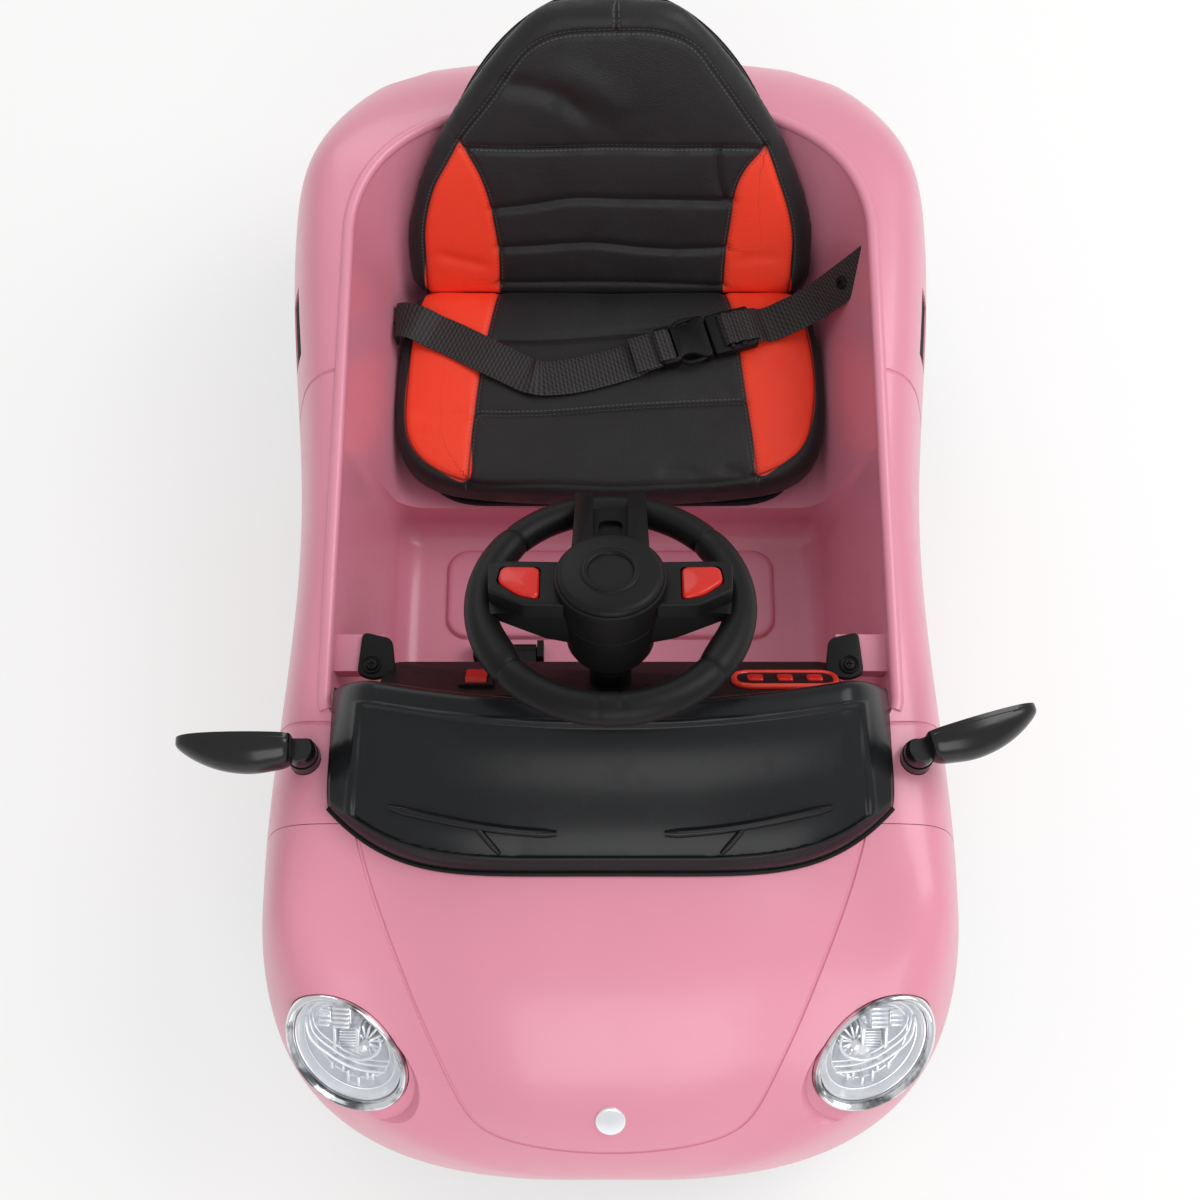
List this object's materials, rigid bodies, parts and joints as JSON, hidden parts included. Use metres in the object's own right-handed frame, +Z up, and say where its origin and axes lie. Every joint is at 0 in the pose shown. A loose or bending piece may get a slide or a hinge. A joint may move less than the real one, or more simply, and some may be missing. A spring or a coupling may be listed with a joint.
{
  "type": "electric ride-on car",
  "caption": "Child's pink electric ride-on car with hollow body shells, bucket seat with lap belt, tilted steering wheel that turns the front wheels, geared rear wheels and folding mirrors.",
  "frame": {"origin": "on the ground under the middle of the car", "axes": "+Z up, nose towards -Y, the driver's left towards +X"},
  "size_m": [0.6841, 1.0487, 0.48],
  "materials": {
    "body_pink": "gloss pink",
    "trim_black": "gloss black",
    "satin_black": "satin black",
    "accent_orange": "gloss orange-red",
    "button_red": "gloss red",
    "seat_leather": "grained black with orange-red side panels",
    "webbing": "woven black",
    "steel": "plated",
    "gear_white": "natural",
    "tyre_black": "matt black",
    "hub_silver": "silver",
    "chrome": "bright plated",
    "clear": "clear",
    "lamp_red": "clear red"
  },
  "bodies": {
    "car_body": {"front_body_shell": "body_pink", "main_body_shell": "body_pink", "chassis_tray": "satin_black", "windscreen_cover": "trim_black", "dash_panel": "satin_black", "control_panel_frame": "accent_orange", "control_panel_face": "trim_black", "switch_frame": "satin_black", "seat_shell": "satin_black", "seat_cushion": "seat_leather", "back_cushion": "seat_leather", "belt_left": "webbing", "belt_right": "webbing", "buckle_socket": "satin_black", "buckle_plug": "satin_black", "cabin_screws": "steel", "front_axle_beam": "steel", "steering_bush": "satin_black", "rear_axle": "steel", "gearbox_left": "satin_black", "gearbox_right": "satin_black", "motor_left": "steel", "motor_right": "steel", "battery": "satin_black", "control_box": "satin_black", "pedal_bracket": "satin_black", "pedal_spring": "steel", "mirror_bases": "trim_black", "headlight_bezels": "chrome", "headlight_lenses": "clear", "headlight_reflectors": "chrome", "tail_lamps": "lamp_red", "side_vents": "satin_black"},
    "steering": {"steering_wheel": "satin_black", "hub_cover": "satin_black", "steering_shaft": "steel"},
    "horn_key": {"horn_button": "button_red"},
    "music_key": {"music_button": "button_red"},
    "left_hub": {"left_knuckle": "steel"},
    "right_hub": {"right_knuckle": "steel"},
    "track_rod": {"tie_rod": "steel"},
    "front_left": {"front_left_wheel": "tyre_black", "front_left_hubcap": "hub_silver"},
    "front_right": {"front_right_wheel": "tyre_black", "front_right_hubcap": "hub_silver"},
    "rear_left": {"rear_left_wheel": "tyre_black", "rear_left_hubcap": "hub_silver", "drive_gear_left": "gear_white"},
    "rear_right": {"rear_right_wheel": "tyre_black", "rear_right_hubcap": "hub_silver", "drive_gear_right": "gear_white"},
    "motor_gear_left": {"pinion_left": "steel"},
    "motor_gear_right": {"pinion_right": "steel"},
    "panel_key_left": {"panel_button_left": "button_red"},
    "panel_key_middle": {"panel_button_middle": "button_red"},
    "panel_key_right": {"panel_button_right": "button_red"},
    "rocker": {"power_rocker": "button_red"},
    "foot_pedal": {"pedal": "satin_black"},
    "mirror_left": {"left_mirror": "trim_black"},
    "mirror_right": {"right_mirror": "trim_black"}
  },
  "joints": [
    {"name": "steering_turn", "type": "hinge", "parent": "car_body", "child": "steering", "pos_m": [0, -0.113, 0.43], "axis": [0, 0.342, 0.9397], "range_deg": [-25, 25]},
    {"name": "left_steer", "type": "hinge", "parent": "car_body", "child": "left_hub", "pos_m": [0.18, -0.3, 0.095], "axis": [0, 0, 1], "range_deg": [-25, 25]},
    {"name": "right_steer", "type": "hinge", "parent": "car_body", "child": "right_hub", "pos_m": [-0.18, -0.3, 0.095], "axis": [0, 0, 1], "range_deg": [-25, 25]},
    {"name": "tie_rod_turn", "type": "hinge", "parent": "left_hub", "child": "track_rod", "pos_m": [0.18, -0.26, 0.11], "axis": [0, 0, 1], "range_deg": [-25, 25]},
    {"name": "horn_press", "type": "slide", "parent": "steering", "child": "horn_key", "axis": [0, -0.342, -0.9397], "range_m": [0, 0.0025], "stiffness_N_per_m": 500},
    {"name": "music_press", "type": "slide", "parent": "steering", "child": "music_key", "axis": [0, -0.342, -0.9397], "range_m": [0, 0.0025], "stiffness_N_per_m": 500},
    {"name": "front_left_spin", "type": "hinge", "parent": "left_hub", "child": "front_left", "pos_m": [0.251, -0.3, 0.095], "axis": [1, 0, 0], "continuous": true},
    {"name": "front_right_spin", "type": "hinge", "parent": "right_hub", "child": "front_right", "pos_m": [-0.251, -0.3, 0.095], "axis": [1, 0, 0], "continuous": true},
    {"name": "rear_left_spin", "type": "hinge", "parent": "car_body", "child": "rear_left", "pos_m": [0.251, 0.312, 0.095], "axis": [1, 0, 0], "continuous": true},
    {"name": "rear_right_spin", "type": "hinge", "parent": "car_body", "child": "rear_right", "pos_m": [-0.251, 0.312, 0.095], "axis": [1, 0, 0], "continuous": true},
    {"name": "motor_left_spin", "type": "hinge", "parent": "car_body", "child": "motor_gear_left", "pos_m": [0.168, 0.27411, 0.11688], "axis": [1, 0, 0], "continuous": true},
    {"name": "motor_right_spin", "type": "hinge", "parent": "car_body", "child": "motor_gear_right", "pos_m": [-0.168, 0.27411, 0.11688], "axis": [1, 0, 0], "continuous": true},
    {"name": "panel_left_press", "type": "slide", "parent": "car_body", "child": "panel_key_left", "axis": [0, -0.8445, -0.5355], "range_m": [0, 0.0015], "stiffness_N_per_m": 300},
    {"name": "panel_middle_press", "type": "slide", "parent": "car_body", "child": "panel_key_middle", "axis": [0, -0.8445, -0.5355], "range_m": [0, 0.0015], "stiffness_N_per_m": 300},
    {"name": "panel_right_press", "type": "slide", "parent": "car_body", "child": "panel_key_right", "axis": [0, -0.8445, -0.5355], "range_m": [0, 0.0015], "stiffness_N_per_m": 300},
    {"name": "rocker_tip", "type": "hinge", "parent": "car_body", "child": "rocker", "pos_m": [-0.108, -0.14421, 0.34552], "axis": [1, 0, 0], "range_deg": [-8, 8]},
    {"name": "pedal_press", "type": "hinge", "parent": "car_body", "child": "foot_pedal", "pos_m": [-0.096, -0.048, 0.123], "axis": [1, 0, 0], "range_deg": [0, 9], "stiffness_Nm_per_rad": 1.5, "springref_deg": -8.59, "deforming": ["pedal_spring"]},
    {"name": "left_mirror_fold", "type": "hinge", "parent": "car_body", "child": "mirror_left", "pos_m": [0.246, -0.208, 0.345], "axis": [0, 0, 1], "range_deg": [-20, 50]},
    {"name": "right_mirror_fold", "type": "hinge", "parent": "car_body", "child": "mirror_right", "pos_m": [-0.246, -0.208, 0.345], "axis": [0, 0, 1], "range_deg": [-60, 15]}
  ],
  "couplings": [
    {"joint": "left_steer", "follows": "steering_turn", "ratio": 1},
    {"joint": "right_steer", "follows": "steering_turn", "ratio": 1},
    {"joint": "tie_rod_turn", "follows": "steering_turn", "ratio": -1},
    {"joint": "motor_left_spin", "follows": "rear_left_spin", "ratio": -4},
    {"joint": "motor_right_spin", "follows": "rear_right_spin", "ratio": -4}
  ]
}
